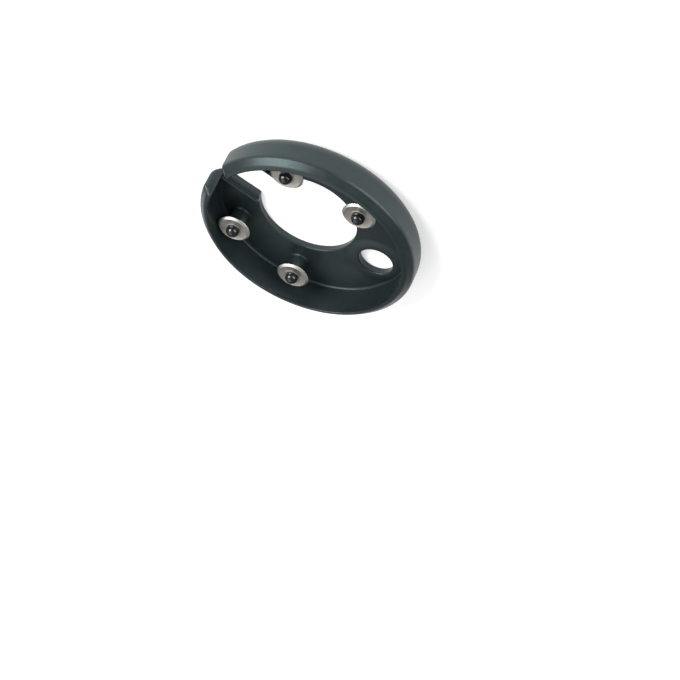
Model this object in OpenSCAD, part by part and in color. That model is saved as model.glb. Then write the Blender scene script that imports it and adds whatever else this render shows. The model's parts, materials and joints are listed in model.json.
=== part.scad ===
// Squeeze foil cutter: an open C-shaped shell that closes round a bottle neck and turns four
// freely spinning steel wheels against the foil. It lies on the flat outer face of its web,
// open side up. +X points out of the mouth, and the body is the same on both sides of Y = 0.

/* [Bottle neck] */
// Diameter of the foil-wrapped neck that the wheels roll on
neck_d = 29.8; // [26:0.2:36]
// Distance from the centre of the shell to the neck axis, towards the mouth
neck_shift = 2.3; // [0:0.1:4]
// How far the wheels' edges reach into the foil
bite = 0.1; // [0:0.05:0.3]
// How far the web reaches in under the neck, as a ledge that stops the bottle's top
ledge = 2.2; // [0.5:0.1:4]

/* [Shell] */
// Overall height of the shell
height = 10; // [8.5:0.1:14]
// Thickness of the round outer wall
wall = 2.8; // [2:0.1:4]
// Thickness of the flat web
web = 1.8; // [1.4:0.1:2.4]
// Radius of the rounded edge between the wall and the flat outer face
heel_r = 4; // [2:0.1:4.5]
// Height of the sloping face at the open rim
lip_drop = 2; // [0.8:0.1:2.8]
// Width of the level rim that is left inside the sloping face
lip_land = 0.8; // [0.5:0.1:1.2]
// Width of the mouth between the two arms
mouth_w = 9; // [6:0.2:14]

/* [Slot ribs] */
// Width of the low rib beside each edge of the mouth
rib_w = 0.6; // [0.4:0.1:1]
// Height of the rib above the web
rib_h = 0.9; // [0.3:0.1:1.2]
// Distance from the mouth's edge to the rib
rib_set = 1.1; // [0.5:0.1:1.8]

/* [Hang hole] */
// Diameter of the round hole in the closed end
hole_d = 8.8; // [5:0.1:9.4]
// Narrowest strip between the hole and the neck opening
hole_strip = 3.5; // [1:0.1:3.8]
// Width of the raised pad round the hole, where it meets the web
pad_rim = 3.1; // [1.5:0.1:4.5]
// How much narrower the pad is at its top
pad_slope = 0.8; // [0.1:0.1:1]
// Height of the pad above the web
pad_h = 0.3; // [0.1:0.1:0.8]

/* [Cutting wheels] */
// Diameter of a wheel
wheel_d = 8.4; // [7:0.1:9.6]
// Thickness of a wheel
wheel_t = 0.9; // [0.6:0.1:1.2]
// Width of the ground bevel at a wheel's edge
wheel_bevel = 0.55; // [0.3:0.05:0.8]
// Thickness of the flat that is left at the very edge
wheel_edge = 0.12; // [0.05:0.01:0.3]
// Direction of the front wheels from the neck axis, measured from +X
front_angle = 51.3; // [46:0.1:60]
// Direction of the rear wheels from the neck axis, measured from +X
rear_angle = 112.7; // [105:0.1:116]
// Clearance between a front wheel and the outer wall
wheel_to_wall = 0.3; // [0.2:0.05:1]

/* [Pins] */
// Diameter of a pin's shank
pin_d = 2; // [1.6:0.1:2.4]
// Running clearance on the radius between a wheel and its pin
pin_run = 0.05; // [0.02:0.01:0.08]
// Diameter of a pin's domed head
head_d = 3.3; // [2.8:0.1:3.8]
// Free play of a wheel along its pin, on each side
pin_play = 0.1; // [0.05:0.01:0.15]
// Distance from the open rim down to the top of a head
head_sink = 0.8; // [0.3:0.1:1.5]
// Diameter of the boss under a wheel
boss_d = 4.6; // [4:0.1:5.2]
// Floor left under a pin in the web
pin_floor = 0.8; // [0.5:0.1:1.2]

/* [Flexing strips] */
// Direction, from +X, that a flexing strip is square to
strip_angle = 60; // [56:1:66]
// Distance from the pad to a flexing strip
strip_gap = 0.5; // [0.2:0.1:1]
// Width of a flexing strip, along the line of the arm
strip_w = 2.8; // [2:0.1:4]

/* [Hidden] */
$fn = 96;
neck_r = neck_d / 2;
opening_r = neck_r - ledge;
wheel_r = wheel_d / 2;
orbit_r = neck_r - bite + wheel_r;
pin_r = pin_d / 2;
head_r = head_d / 2;

front_at = [neck_shift + orbit_r * cos(front_angle), orbit_r * sin(front_angle)];
rear_at = [neck_shift + orbit_r * cos(rear_angle), orbit_r * sin(rear_angle)];

inner_r = norm(front_at) + wheel_r + wheel_to_wall;
outer_r = inner_r + wall;
far = 2 * outer_r;

// Levels, from the flat outer face up: the head's flat seat sits just above the wheel
head_cut = 0.15 * head_r;
head_z = height - head_sink - head_r;
head_seat_z = head_z - head_cut;
wheel_top_z = head_seat_z - pin_play;
wheel_z = wheel_top_z - wheel_t;
boss_top_z = wheel_z - pin_play;

hole_r = hole_d / 2;
hole_x = opening_r - neck_shift + hole_strip + hole_r;
pad_r = hole_r + pad_rim;
strip_from = pad_r + strip_gap - hole_x * cos(strip_angle);
strip_to = strip_from + strip_w;

heel_steps = 8;
rim_round = 0.3;
eps = 0.01;

// Points on an arc of radius r about c, from angle a0 to a1
function arc(c, r, a0, a1, steps) =
    [for (i = [0 : steps]) c + r * [cos(a0 + (a1 - a0) * i / steps), sin(a0 + (a1 - a0) * i / steps)]];

// Mirrors its children to the right side (-Y) when side is -1
module on_side(side) {
    mirror([0, side < 0 ? 1 : 0, 0]) children();
}

// Section of the shell: flat web, rounded heel, straight wall and sloping rim
module shell_section() {
    polygon(concat(
        [[0, 0]],
        arc([outer_r - heel_r, heel_r], heel_r, -90, 0, heel_steps),
        [[outer_r, height - lip_drop],
         [inner_r + lip_land, height],
         [inner_r + rim_round, height],
         [inner_r, height - rim_round],
         [inner_r, web],
         [0, web]]));
}

// Rib beside the mouth, from the neck opening to the outer wall
module slot_rib() {
    translate([neck_shift, mouth_w / 2 + rib_set, web - eps])
        cube([inner_r - neck_shift - wheel_to_wall, rib_w, rib_h + eps]);
}

// Raised pad round the hang hole, with a sloping side
module pad() {
    translate([-hole_x, 0, 0])
        rotate_extrude()
            polygon([[0, web / 2], [pad_r, web / 2], [pad_r, web],
                     [pad_r - pad_slope, web + pad_h], [0, web + pad_h]]);
}

// The whole moulding before it is divided at the flexing strips
module shell() {
    difference() {
        union() {
            rotate_extrude() shell_section();
            intersection() {
                pad();
                cylinder(h = height, r = inner_r + eps);
            }
            for (side = [-1, 1]) {
                on_side(side) {
                    slot_rib();
                    for (at = [front_at, rear_at])
                        translate([at[0], at[1], web - eps])
                            cylinder(h = boss_top_z - web + eps, d = boss_d);
                }
            }
        }
        translate([neck_shift, 0, -1]) cylinder(h = height + 2, r = opening_r);
        translate([0, -mouth_w / 2, -1]) cube([far, mouth_w, height + 2]);
        translate([-hole_x, 0, -1]) cylinder(h = height + 2, r = hole_r);
        for (side = [-1, 1])
            on_side(side)
                for (at = [front_at, rear_at])
                    translate([at[0], at[1], pin_floor]) cylinder(h = height, r = pin_r);
    }
}

// Slab of space between two distances from the origin, along the direction of the strips
module slab(from, to) {
    rotate([0, 0, strip_angle]) translate([from, -far, -1]) cube([to - from, 2 * far, height + 2]);
}

// Space on the left of the plane through the mouth and the hang hole
module left_side() {
    translate([-far, 0, -1]) cube([2 * far, far, height + 2]);
}

// Closed end with the hang hole
module bridge() {
    color("#1b1e20") intersection() {
        shell();
        slab(-far, strip_from);
        mirror([0, 1, 0]) slab(-far, strip_from);
    }
}

// Thin stretch of the moulding that bends when an arm is squeezed
module flexing_strip(side) {
    color("#1b1e20") on_side(side) intersection() {
        shell();
        slab(strip_from, strip_to);
        left_side();
    }
}

// Half of the C, from the flexing strip round to the mouth, with two wheel bosses
module arm(side) {
    color("#1b1e20") on_side(side) intersection() {
        shell();
        slab(strip_to, far);
        left_side();
    }
}

// Steel disc with a bevel ground on both faces
module wheel(at, side) {
    bore_r = pin_r + pin_run;
    flat_r = wheel_r - wheel_bevel;
    edge_z = (wheel_t - wheel_edge) / 2;
    color("#c9c8c2") on_side(side) translate([at[0], at[1], wheel_z])
        rotate_extrude()
            polygon([[bore_r, 0], [flat_r, 0], [wheel_r, edge_z], [wheel_r, edge_z + wheel_edge],
                     [flat_r, wheel_t], [bore_r, wheel_t]]);
}

// Pin pressed into its boss, with a domed head that keeps the wheel on
module pin(at, side) {
    seat_angle = -asin(head_cut / head_r);
    color("#101213") on_side(side) translate([at[0], at[1], 0])
        rotate_extrude()
            polygon(concat(
                [[0, pin_floor], [pin_r, pin_floor], [pin_r, head_seat_z]],
                arc([0, head_z], head_r, seat_angle, 90, 12)));
}

module left_flexing_strip() { flexing_strip(1); }
module right_flexing_strip() { flexing_strip(-1); }
module left_arm() { arm(1); }
module right_arm() { arm(-1); }
module front_left_wheel() { wheel(front_at, 1); }
module rear_left_wheel() { wheel(rear_at, 1); }
module front_right_wheel() { wheel(front_at, -1); }
module rear_right_wheel() { wheel(rear_at, -1); }
module front_left_pin() { pin(front_at, 1); }
module rear_left_pin() { pin(rear_at, 1); }
module front_right_pin() { pin(front_at, -1); }
module rear_right_pin() { pin(rear_at, -1); }

bridge();
left_flexing_strip();
right_flexing_strip();
left_arm();
right_arm();
front_left_wheel();
rear_left_wheel();
front_right_wheel();
rear_right_wheel();
front_left_pin();
rear_left_pin();
front_right_pin();
rear_right_pin();
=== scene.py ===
"""Looks of the squeeze foil cutter: moulded shell, steel cutting wheels and dome-headed pins."""

import json
import math

import bpy
import bmesh
import numpy as np
from mathutils import Matrix, Vector


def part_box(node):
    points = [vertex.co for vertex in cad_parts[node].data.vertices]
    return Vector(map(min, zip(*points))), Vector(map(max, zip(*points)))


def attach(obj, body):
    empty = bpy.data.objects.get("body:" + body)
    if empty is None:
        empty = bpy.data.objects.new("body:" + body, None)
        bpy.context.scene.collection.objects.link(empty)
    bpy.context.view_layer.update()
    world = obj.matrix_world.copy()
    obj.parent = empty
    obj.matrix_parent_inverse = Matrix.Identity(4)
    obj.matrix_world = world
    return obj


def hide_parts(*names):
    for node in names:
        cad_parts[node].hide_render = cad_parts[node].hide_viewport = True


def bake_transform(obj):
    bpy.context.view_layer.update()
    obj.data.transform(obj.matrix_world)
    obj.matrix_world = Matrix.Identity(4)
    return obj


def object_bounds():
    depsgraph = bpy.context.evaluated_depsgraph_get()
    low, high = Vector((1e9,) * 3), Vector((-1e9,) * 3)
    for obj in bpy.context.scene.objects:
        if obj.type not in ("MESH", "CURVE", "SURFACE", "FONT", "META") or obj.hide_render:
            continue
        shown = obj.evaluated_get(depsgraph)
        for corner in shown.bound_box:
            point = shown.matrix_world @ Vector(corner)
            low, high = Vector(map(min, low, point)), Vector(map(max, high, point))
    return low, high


MM = 0.001

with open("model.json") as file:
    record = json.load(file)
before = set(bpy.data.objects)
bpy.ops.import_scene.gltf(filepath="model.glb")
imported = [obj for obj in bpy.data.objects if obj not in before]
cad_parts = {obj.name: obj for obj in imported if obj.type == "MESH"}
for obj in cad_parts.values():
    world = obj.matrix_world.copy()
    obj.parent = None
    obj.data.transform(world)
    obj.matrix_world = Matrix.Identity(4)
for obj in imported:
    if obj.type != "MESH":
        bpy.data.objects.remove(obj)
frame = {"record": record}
cad_low, cad_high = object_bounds()

# ---------------------------------------------------------------- sizes, in mm, read from the frame


def box_mm(node):
    """Lowest and highest corner of a CAD node, in mm."""
    low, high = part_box(node)
    return np.array(low) / MM, np.array(high) / MM


def centre_of(node):
    low, high = box_mm(node)
    return (low + high) / 2


def mount(name):
    return next(m for m in frame["record"]["mounts"] if m["name"] == name)


# Shell
HEIGHT = cad_high[2] / MM
OUTER_R = box_mm("left_arm")[1][1]
WALL = 2.8
INNER_R = OUTER_R - WALL
WEB = 1.8
HEEL_R = 4.0
LIP_DROP = 2.0
LIP_LAND = 0.8
MOUTH_HALF = box_mm("left_arm")[0][1]

# Roundings of the shell's edges and fillets in its corners
SLOPE_ROUND = 0.4
LAND_ROUND = 0.6
RIM_ROUND = 0.3
HOLLOW_FILLET = 0.7
OPENING_ROUND = 0.3
END_ROUND_WEB = 0.3
END_ROUND_WALL = 1.2
END_ROUND_RUN = 2.5
END_ROUND_LEAD = 1.0

# Wheels, pins and the bosses under them
FRONT = centre_of("front_left_wheel")
REAR = centre_of("rear_left_wheel")
WHEEL_LOW, WHEEL_HIGH = box_mm("front_left_wheel")
WHEEL_R = (WHEEL_HIGH[0] - WHEEL_LOW[0]) / 2
BEVEL = 0.55
EDGE_HALF = 0.06
DISH = 0.05
DISH_RUN = 0.12
PIN_LOW, PIN_HIGH = box_mm("front_left_pin")
HEAD_R = (PIN_HIGH[0] - PIN_LOW[0]) / 2
HEAD_Z = PIN_HIGH[2] - HEAD_R
HUB_R = HEAD_R + 0.25
SHANK_R = 1.0
PIN_RUN = 0.05
PIN_PLAY = 0.1
PIN_DEPTH = 1.0
BOSS_R = 2.3
BOSS_TOP = WHEEL_LOW[2] - PIN_PLAY
BOSS_ROUND = 0.2
BOSS_FILLET = 0.5

# The neck axis lies as far from the front wheels as from the rear ones
NECK_X = (FRONT[0] ** 2 + FRONT[1] ** 2 - REAR[0] ** 2 - REAR[1] ** 2) / (2 * (FRONT[0] - REAR[0]))
ORBIT_R = math.hypot(FRONT[0] - NECK_X, FRONT[1])
LEDGE_PAST_WHEELS = 2.1
OPENING_R = ORBIT_R - WHEEL_R - LEDGE_PAST_WHEELS

# Hang hole, the pad round it and the ribs beside the mouth
HOLE_X = mount("hang_hole")["pos_m"][0] / MM
HOLE_R = mount("hang_hole")["dims"]["r_mm"]
PAD_RIM = 3.1
PAD_R = HOLE_R + PAD_RIM
PAD_SLOPE = 0.8
PAD_H = 0.3
PAD_ROUND = 0.5
PAD_FILLET = 0.2
RIB_W = 0.6
RIB_H = 0.9
RIB_SET = 1.1
RIB_ROUND = 0.2
RIB_FILLET = 0.25
INTO_WALL = 0.5

# Grid of the shell's surface
CELL = 0.25
MARGIN = 0.7

# ---------------------------------------------------------------- the moulded shell as a distance field


def round_cut(a, b, r):
    """Both a and b, with the edge between them rounded off."""
    corner = np.hypot(np.maximum(r + a, 0), np.maximum(r + b, 0))
    return np.minimum(-r, np.maximum(a, b)) + corner


def fillet(a, b, r):
    """Either a or b, with the corner between them filled."""
    corner = np.hypot(np.maximum(r - a, 0), np.maximum(r - b, 0))
    return np.maximum(r, np.minimum(a, b)) - corner


def shell_field(x, y, z):
    """Distance to the moulding's surface in mm, below zero inside, the same on both sides of y = 0."""
    y = np.abs(y)
    r = np.hypot(x, y)
    # outer form: round wall, rounded heel, sloping rim and its narrow land
    run = OUTER_R - INNER_R - LIP_LAND
    slope = (r - OUTER_R) * LIP_DROP + (z - HEIGHT + LIP_DROP) * run
    d = round_cut(r - OUTER_R, -z, HEEL_R)
    d = round_cut(d, slope / math.hypot(LIP_DROP, run), SLOPE_ROUND)
    d = round_cut(d, z - HEIGHT, LAND_ROUND)
    # the hollow on the open side, with a fillet where the wall meets the web
    hollow = round_cut(r - INNER_R, WEB - z, HOLLOW_FILLET)
    d = round_cut(d, -hollow, RIM_ROUND)
    # raised pad round the hang hole
    from_hole = np.hypot(x - HOLE_X, y)
    pad_side = (from_hole - PAD_R) * PAD_H + (z - WEB) * PAD_SLOPE
    pad = round_cut(pad_side / math.hypot(PAD_H, PAD_SLOPE), z - WEB - PAD_H, PAD_ROUND)
    pad = np.maximum(np.maximum(pad, WEB / 2 - z), r - INNER_R - INTO_WALL)
    d = fillet(d, pad, PAD_FILLET)
    # ribs beside the mouth
    rib_y = np.abs(y - MOUTH_HALF - RIB_SET - RIB_W / 2) - RIB_W / 2
    rib = round_cut(rib_y, z - WEB - RIB_H, RIB_ROUND)
    rib_ends = np.maximum(NECK_X - x, r - INNER_R - INTO_WALL)
    rib = np.maximum(np.maximum(rib, WEB / 2 - z), rib_ends)
    d = fillet(d, rib, RIB_FILLET)
    # bosses under the wheels
    for at in (FRONT, REAR):
        boss = round_cut(np.hypot(x - at[0], y - at[1]) - BOSS_R, z - BOSS_TOP, BOSS_ROUND)
        d = fillet(d, np.maximum(boss, WEB / 2 - z), BOSS_FILLET)
    # neck opening, hang hole and mouth: the arms' ends are rounder at the wall than along the web
    d = round_cut(d, OPENING_R - np.hypot(x - NECK_X, y), OPENING_ROUND)
    d = round_cut(d, HOLE_R - from_hole, OPENING_ROUND)
    towards_wall = np.clip((r - INNER_R + END_ROUND_LEAD) / END_ROUND_RUN, 0, 1)
    end_round = END_ROUND_WEB + (END_ROUND_WALL - END_ROUND_WEB) * towards_wall
    return round_cut(d, np.minimum(MOUTH_HALF - y, x), end_round)


def gradient(field, p, step=0.01):
    """Unit outward direction of a field at points p."""
    g = np.stack([field(*(p + e).T) - field(*(p - e).T) for e in np.eye(3) * step], axis=1)
    return g / np.maximum(np.linalg.norm(g, axis=1), 1e-9)[:, None]


def left_half_surface(field, low, high, step):
    """Vertices, quads and normals on the y >= 0 side of a field's surface.

    A layer of cells has its middle on y = 0, and its vertices are put exactly on that plane.
    """
    nx = int((high[0] - low[0]) / step) + 1
    ny = int(high[1] / step) + 2
    nz = int((high[2] - low[2]) / step) + 1
    axes = (
        low[0] + step * np.arange(nx),
        step * (np.arange(ny) - 0.5),
        low[2] + step * np.arange(nz),
    )
    value = field(*np.meshgrid(*axes, indexing="ij"))
    cell_sum = np.zeros((nx - 1, ny - 1, nz - 1, 3))
    cell_count = np.zeros((nx - 1, ny - 1, nz - 1))
    crossed = []
    for axis in range(3):
        first = [slice(None)] * 3
        second = [slice(None)] * 3
        first[axis] = slice(0, -1)
        second[axis] = slice(1, None)
        a, b = value[tuple(first)], value[tuple(second)]
        hit = np.argwhere((a < 0) != (b < 0))
        va, vb = a[tuple(hit.T)], b[tuple(hit.T)]
        point = hit.astype(float)
        point[:, axis] += va / (va - vb)
        crossed.append((hit, va < 0))
        others = [i for i in range(3) if i != axis]
        for da in (0, 1):
            for db in (0, 1):
                cell = hit.copy()
                cell[:, others[0]] -= da
                cell[:, others[1]] -= db
                inside = np.all((cell >= 0) & (cell < np.array(cell_count.shape)), axis=1)
                index = tuple(cell[inside].T)
                np.add.at(cell_sum, index, point[inside])
                np.add.at(cell_count, index, 1)
    used = cell_count > 0
    number = np.full(cell_count.shape, -1)
    number[used] = np.arange(used.sum())
    grid_point = cell_sum[used] / cell_count[used][:, None]
    vertices = np.array([axes[0][0], axes[1][0], axes[2][0]]) + step * grid_point
    quads = []
    for axis, (hit, first_inside) in enumerate(crossed):
        b, c = (axis + 1) % 3, (axis + 2) % 3
        corners = []
        for db, dc in ((0, 0), (1, 0), (1, 1), (0, 1)):
            cell = hit.copy()
            cell[:, b] -= db
            cell[:, c] -= dc
            corners.append(cell)
        whole = np.all([(cell >= 0).all(axis=1) for cell in corners], axis=0)
        quad = np.stack([number[tuple(cell[whole].T)] for cell in corners], axis=1)
        flip = ~first_inside[whole]
        quad[flip] = quad[flip][:, ::-1]
        quads.append(quad)
    quads = np.concatenate(quads)
    quads = quads[(quads >= 0).all(axis=1)]
    # settle the vertices on the surface
    on_plane = np.abs(vertices[:, 1]) < step * 0.25
    for _ in range(4):
        normal = gradient(field, vertices)
        vertices -= normal * field(*vertices.T)[:, None]
        vertices[on_plane, 1] = 0
    normal = gradient(field, vertices)
    normal[on_plane, 1] = 0
    return vertices, quads, normal


def mesh_object(name, vertices_mm, faces):
    mesh = bpy.data.meshes.new(name)
    vertices = (np.asarray(vertices_mm) * MM).tolist()
    mesh.from_pydata(vertices, [], [list(map(int, face)) for face in faces])
    mesh.validate()
    made = bpy.data.objects.new(name, mesh)
    bpy.context.scene.collection.objects.link(made)
    return made


def cap_open_edges(obj):
    """Closes the flat cut at y = 0 and returns how many faces there were before."""
    bm = bmesh.new()
    bm.from_mesh(obj.data)
    before = len(bm.faces)
    open_edges = [e for e in bm.edges if e.is_boundary]
    bmesh.ops.holes_fill(bm, edges=open_edges, sides=0)
    bm.to_mesh(obj.data)
    bm.free()
    return before


def shell_half(name, vertices, quads, normals, side):
    """One side of the shell: the left one as computed, or the right one as its mirror image."""
    mirror = np.array([1, side, 1])
    faces = quads if side > 0 else quads[:, ::-1]
    half = mesh_object(name, vertices * mirror, faces)
    surface_faces = cap_open_edges(half)
    mesh = half.data
    mesh.shade_smooth()
    vertex_of = np.zeros(len(mesh.loops), int)
    mesh.loops.foreach_get("vertex_index", vertex_of)
    corner_normals = (normals * mirror)[vertex_of]
    for face in mesh.polygons[surface_faces:]:
        for loop in face.loop_indices:
            corner_normals[loop] = (0, -side, 0)
    mesh.normals_split_custom_set(corner_normals.tolist())
    return half


# ---------------------------------------------------------------- turned parts


def arc(centre, radius, start, end, steps):
    """Points on an arc in the (r, z) plane, angles in degrees."""
    angles = np.radians(np.linspace(start, end, steps + 1))
    return [(centre[0] + radius * math.cos(a), centre[1] + radius * math.sin(a)) for a in angles]


def lathe(name, profile, at, steps):
    """Turns a closed (r, z) outline round the vertical line through at.

    A point with r = 0 becomes one vertex.
    """
    vertices, rings = [], []
    for r, z in profile:
        if r < 1e-6:
            rings.append([len(vertices)] * steps)
            vertices.append((at[0], at[1], z))
            continue
        rings.append(list(range(len(vertices), len(vertices) + steps)))
        for k in range(steps):
            angle = 2 * math.pi * k / steps
            vertices.append((at[0] + r * math.cos(angle), at[1] + r * math.sin(angle), z))
    faces = []
    for ring, following in zip(rings, rings[1:] + rings[:1]):
        for k in range(steps):
            n = (k + 1) % steps
            corners = [ring[k], ring[n], following[n], following[k]]
            face = [c for i, c in enumerate(corners) if c not in corners[:i]]
            if len(face) > 2:
                faces.append(face)
    made = mesh_object(name, vertices, faces)
    bm = bmesh.new()
    bm.from_mesh(made.data)
    bmesh.ops.recalc_face_normals(bm, faces=bm.faces)
    bm.to_mesh(made.data)
    bm.free()
    made.data.shade_smooth()
    return made


def soften(obj, width_mm, angle, segments):
    """Small rounded edges where faces meet at more than the angle, with the flats kept flat."""
    bevel = obj.modifiers.new("edges", "BEVEL")
    bevel.width = width_mm * MM
    bevel.segments = segments
    bevel.limit_method = "ANGLE"
    bevel.angle_limit = math.radians(angle)
    bevel.harden_normals = True


def wheel_piece(name, at):
    """A steel disc: hub land, shallow dished face, ground bevels and a narrow edge."""
    z0, z1 = WHEEL_LOW[2], WHEEL_HIGH[2]
    middle = (z0 + z1) / 2
    bore = SHANK_R + PIN_RUN
    flat = WHEEL_R - BEVEL
    # radius and depth below the face, from the bore to the bevel
    face = [(bore, 0), (HUB_R, 0), (HUB_R + DISH_RUN, DISH), (flat - DISH_RUN, DISH / 2), (flat, 0)]
    under = [(r, z0 + depth) for r, depth in face]
    edge = [(WHEEL_R, middle - EDGE_HALF), (WHEEL_R, middle + EDGE_HALF)]
    top = [(r, z1 - depth) for r, depth in reversed(face)]
    made = lathe(name, under + edge + top, at, steps=160)
    soften(made, 0.035, angle=12, segments=2)
    return made


def pin_piece(name, at):
    """A pin with a domed head: the head's flat seat is just above the wheel."""
    foot_z = BOSS_TOP - PIN_DEPTH
    seat_z = WHEEL_HIGH[2] + PIN_PLAY
    seat_angle = math.degrees(math.asin((seat_z - HEAD_Z) / HEAD_R))
    head = arc((0, HEAD_Z), HEAD_R, seat_angle, 90, 40)
    head[-1] = (0, head[-1][1])
    shank = [(0, foot_z), (SHANK_R, foot_z), (SHANK_R, seat_z)]
    made = lathe(name, shank + head, at, steps=96)
    soften(made, 0.05, angle=35, segments=3)
    return made


# ---------------------------------------------------------------- materials


class Nodes:
    """A short way to write a material's node tree."""

    def __init__(self, name):
        self.material = bpy.data.materials.new(name)
        self.material.use_nodes = True
        self.tree = self.material.node_tree
        self.shader = self.tree.nodes["Principled BSDF"]

    def add(self, kind):
        return self.tree.nodes.new(kind)

    def link(self, source, target):
        self.tree.links.new(source, target)

    def noise(self, scale, detail, roughness=0.5, coords=None):
        node = self.add("ShaderNodeTexNoise")
        node.inputs["Scale"].default_value = scale
        node.inputs["Detail"].default_value = detail
        node.inputs["Roughness"].default_value = roughness
        self.link(coords or self.object_coords(), node.inputs["Vector"])
        return node.outputs["Fac"]

    def object_coords(self):
        if not hasattr(self, "coords"):
            self.coords = self.add("ShaderNodeTexCoord").outputs["Object"]
        return self.coords

    def remap(self, value, low, high, from_low=0.3, from_high=0.7):
        """A value between low and high. The usual source is a noise, which stays near 0.3 to 0.7."""
        node = self.add("ShaderNodeMapRange")
        node.inputs["From Min"].default_value = from_low
        node.inputs["From Max"].default_value = from_high
        node.inputs["To Min"].default_value = low
        node.inputs["To Max"].default_value = high
        self.link(value, node.inputs["Value"])
        return node.outputs["Result"]

    def math(self, operation, a, b=None):
        node = self.add("ShaderNodeMath")
        node.operation = operation
        for socket, value in zip(node.inputs, (a, b)):
            if isinstance(value, (int, float)):
                socket.default_value = value
            elif value is not None:
                self.link(value, socket)
        return node.outputs["Value"]

    def mix(self, factor, a, b):
        """A blend of two colours, each written as a tuple or taken from a socket."""
        node = self.add("ShaderNodeMix")
        node.data_type = "RGBA"
        self.link(factor, node.inputs["Factor"])
        for socket, value in zip(node.inputs[6:8], (a, b)):
            if isinstance(value, tuple):
                socket.default_value = (*value, 1)
            else:
                self.link(value, socket)
        return node.outputs[2]

    def bump(self, height, strength, distance_mm):
        node = self.add("ShaderNodeBump")
        node.inputs["Strength"].default_value = strength
        node.inputs["Distance"].default_value = distance_mm * MM
        self.link(height, node.inputs["Height"])
        return node.outputs["Normal"]


def shell_material():
    """Black moulded ABS: satin, with a very fine mould texture and faint handling marks."""
    n = Nodes("shell_black_abs")
    cloud = n.noise(180, 3, 0.5)
    marks = n.noise(1400, 6, 0.65)
    colour = n.mix(n.remap(cloud, 0, 1), (0.0105, 0.0152, 0.0162), (0.0145, 0.0208, 0.0220))
    n.link(colour, n.shader.inputs["Base Color"])
    roughness = n.math("ADD", n.remap(cloud, 0.34, 0.40), n.remap(marks, -0.03, 0.05))
    n.link(roughness, n.shader.inputs["Roughness"])
    n.shader.inputs["IOR"].default_value = 1.5
    # painted reflection colour: the teal specular tint stands in for teal light that the shell reflects
    n.shader.inputs["Specular Tint"].default_value = (0.78, 0.98, 1.0, 1)
    grain = n.noise(9000, 2, 0.6)
    n.link(n.bump(grain, 0.12, 0.02), n.shader.inputs["Normal"])
    return n.material


def steel_material(name, at):
    """Turned steel: rings of fine tool marks round the wheel's own axis."""
    n = Nodes(name)
    spread = n.add("ShaderNodeSeparateXYZ")
    n.link(n.object_coords(), spread.inputs["Vector"])
    dx = n.math("SUBTRACT", spread.outputs["X"], at[0] * MM)
    dy = n.math("SUBTRACT", spread.outputs["Y"], at[1] * MM)
    square = n.math("ADD", n.math("MULTIPLY", dx, dx), n.math("MULTIPLY", dy, dy))
    radius = n.math("SQRT", square)
    line = n.add("ShaderNodeCombineXYZ")
    n.link(radius, line.inputs["X"])
    turned = n.noise(9000, 3, 0.6, line.outputs["Vector"])
    stain = n.noise(900, 4, 0.55)
    colour = n.mix(n.remap(stain, 0, 1), (0.50, 0.47, 0.42), (0.60, 0.57, 0.52))
    # painted highlight: the bevel's colour is made brighter so that it shows a bright line along the
    # wheel's edge
    flat = WHEEL_R - BEVEL
    blur = 0.02
    painted_bevel_highlight = n.remap(radius, 0, 1, (flat - blur) * MM, (flat + blur) * MM)
    n.link(n.mix(painted_bevel_highlight, colour, (0.86, 0.85, 0.82)), n.shader.inputs["Base Color"])
    n.shader.inputs["Metallic"].default_value = 1.0
    roughness = n.math("ADD", n.remap(turned, 0.26, 0.36), n.remap(stain, -0.02, 0.06))
    n.link(roughness, n.shader.inputs["Roughness"])
    n.link(n.bump(turned, 0.35, 0.01), n.shader.inputs["Normal"])
    return n.material


def head_material():
    """Polished black domes, a little uneven in gloss and height."""
    n = Nodes("pin_gloss_black")
    cloud = n.noise(1500, 4, 0.6)
    colour = n.mix(n.remap(cloud, 0, 1), (0.006, 0.0075, 0.008), (0.011, 0.013, 0.014))
    n.link(colour, n.shader.inputs["Base Color"])
    n.link(n.remap(cloud, 0.09, 0.16), n.shader.inputs["Roughness"])
    n.shader.inputs["IOR"].default_value = 1.55
    n.link(n.bump(n.noise(5000, 2), 0.05, 0.01), n.shader.inputs["Normal"])
    return n.material


def paint(obj, material):
    obj.data.materials.clear()
    obj.data.materials.append(material)


# ---------------------------------------------------------------- the object

reach = OUTER_R + MARGIN
surface = left_half_surface(shell_field, (-reach, 0, -MARGIN), (reach, reach, HEIGHT + MARGIN), CELL)
shell_black = shell_material()
for side, word in ((1, "left"), (-1, "right")):
    half = shell_half(f"shell_{word}_half", *surface, side)
    paint(half, shell_black)
    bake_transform(half)
    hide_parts(f"{word}_arm", f"{word}_flexing_strip")
    if side > 0:
        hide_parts("bridge")

gloss_black = head_material()
for word in ("left", "right"):
    for place in ("front", "rear"):
        at = centre_of(f"{place}_{word}_wheel")
        wheel = wheel_piece(f"{place}_{word}_cutting_wheel", at)
        paint(wheel, steel_material(f"steel_{place}_{word}", at))
        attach(wheel, f"{place}_{word}_wheel")
        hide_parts(f"{place}_{word}_wheel")
        pin = pin_piece(f"{place}_{word}_domed_pin", at)
        paint(pin, gloss_black)
        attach(pin, f"{word}_arm")
        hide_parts(f"{place}_{word}_pin")

# ---------------------------------------------------------------- floor, light and camera


def direction(azimuth, elevation):
    """Unit vector towards a place round the object: azimuth 0 is on the -Y side, 90 on the +X side."""
    a, e = math.radians(azimuth), math.radians(elevation)
    return Vector((math.sin(a) * math.cos(e), -math.cos(a) * math.cos(e), math.sin(e)))


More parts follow.
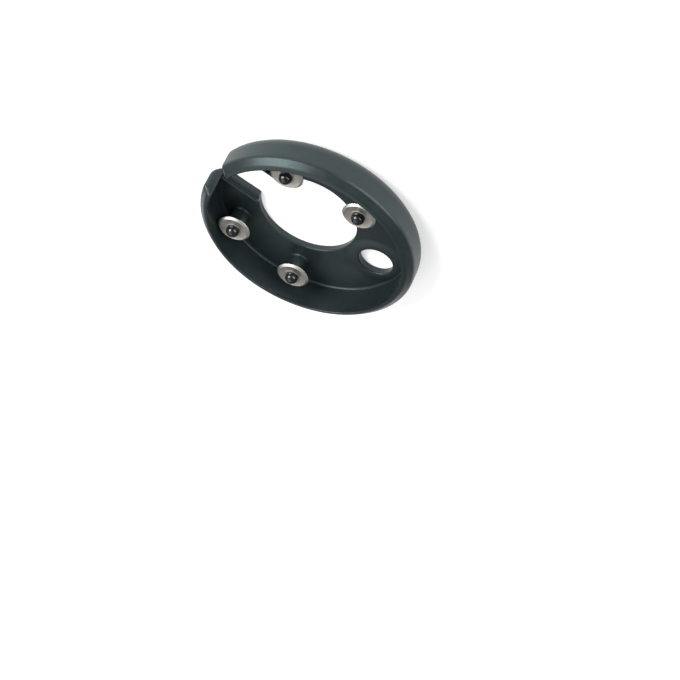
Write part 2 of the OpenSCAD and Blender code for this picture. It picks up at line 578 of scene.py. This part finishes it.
def make_floor():
    """A pale floor that adds white only for the rays that see it, and so keeps the shadow."""
    bpy.ops.mesh.primitive_plane_add(size=4)
    floor = bpy.context.object
    floor.name = "floor"
    n = Nodes("floor_white")
    path = n.add("ShaderNodeLightPath")
    seen = n.math("MAXIMUM", path.outputs["Is Camera Ray"], path.outputs["Is Glossy Ray"])
    seen = n.math("MAXIMUM", seen, path.outputs["Is Transmission Ray"])
    n.shader.inputs["Base Color"].default_value = (0.8, 0.8, 0.8, 1)
    n.shader.inputs["Roughness"].default_value = 0.9
    n.shader.inputs["Specular IOR Level"].default_value = 0.0
    n.shader.inputs["Emission Color"].default_value = (1, 1, 1, 1)
    n.link(n.math("MULTIPLY", seen, 0.48), n.shader.inputs["Emission Strength"])
    paint(floor, n.material)


def make_world():
    world = bpy.data.worlds.new("studio")
    world.use_nodes = True
    tree = world.node_tree
    tree.nodes["Background"].inputs["Color"].default_value = (1, 1, 1, 1)
    tree.nodes["Background"].inputs["Strength"].default_value = 0.22
    bpy.context.scene.world = world


def softbox(name, azimuth, elevation, distance, size, watts):
    """A rectangular lamp that faces the object."""
    light = bpy.data.lights.new(name, "AREA")
    light.shape = "RECTANGLE"
    light.size, light.size_y = size
    light.energy = watts
    lamp = bpy.data.objects.new(name, light)
    bpy.context.scene.collection.objects.link(lamp)
    target = Vector((0, 0, HEIGHT / 2 * MM))
    lamp.location = target + direction(azimuth, elevation) * distance
    lamp.rotation_mode = "QUATERNION"
    lamp.rotation_quaternion = (lamp.location - target).to_track_quat("Z", "Y")


def make_camera():
    """The camera stands on the near side and is rolled, so that the open side faces down and left."""
    camera = bpy.data.objects.new("camera", bpy.data.cameras.new("camera"))
    bpy.context.scene.collection.objects.link(camera)
    bpy.context.scene.camera = camera
    camera.data.sensor_width = 36
    camera.data.lens = 93.2
    camera.location = direction(12.70, 36.46) * 0.4312
    aim = Vector((-0.02754, 0.03281, 0.005))
    roll = math.radians(155.34)
    look = (camera.location - aim).to_track_quat("Z", "Y")
    camera.rotation_mode = "QUATERNION"
    camera.rotation_quaternion = look @ Matrix.Rotation(-roll, 4, "Z").to_quaternion()


make_floor()
make_world()
softbox("key", 72, 34, 0.65, (0.45, 0.35), 5.0)
softbox("near", -25, 14, 0.6, (0.6, 0.25), 2.6)
softbox("top", 150, 68, 0.7, (0.7, 0.7), 1.8)
make_camera()
bpy.context.scene.view_settings.view_transform = "Standard"
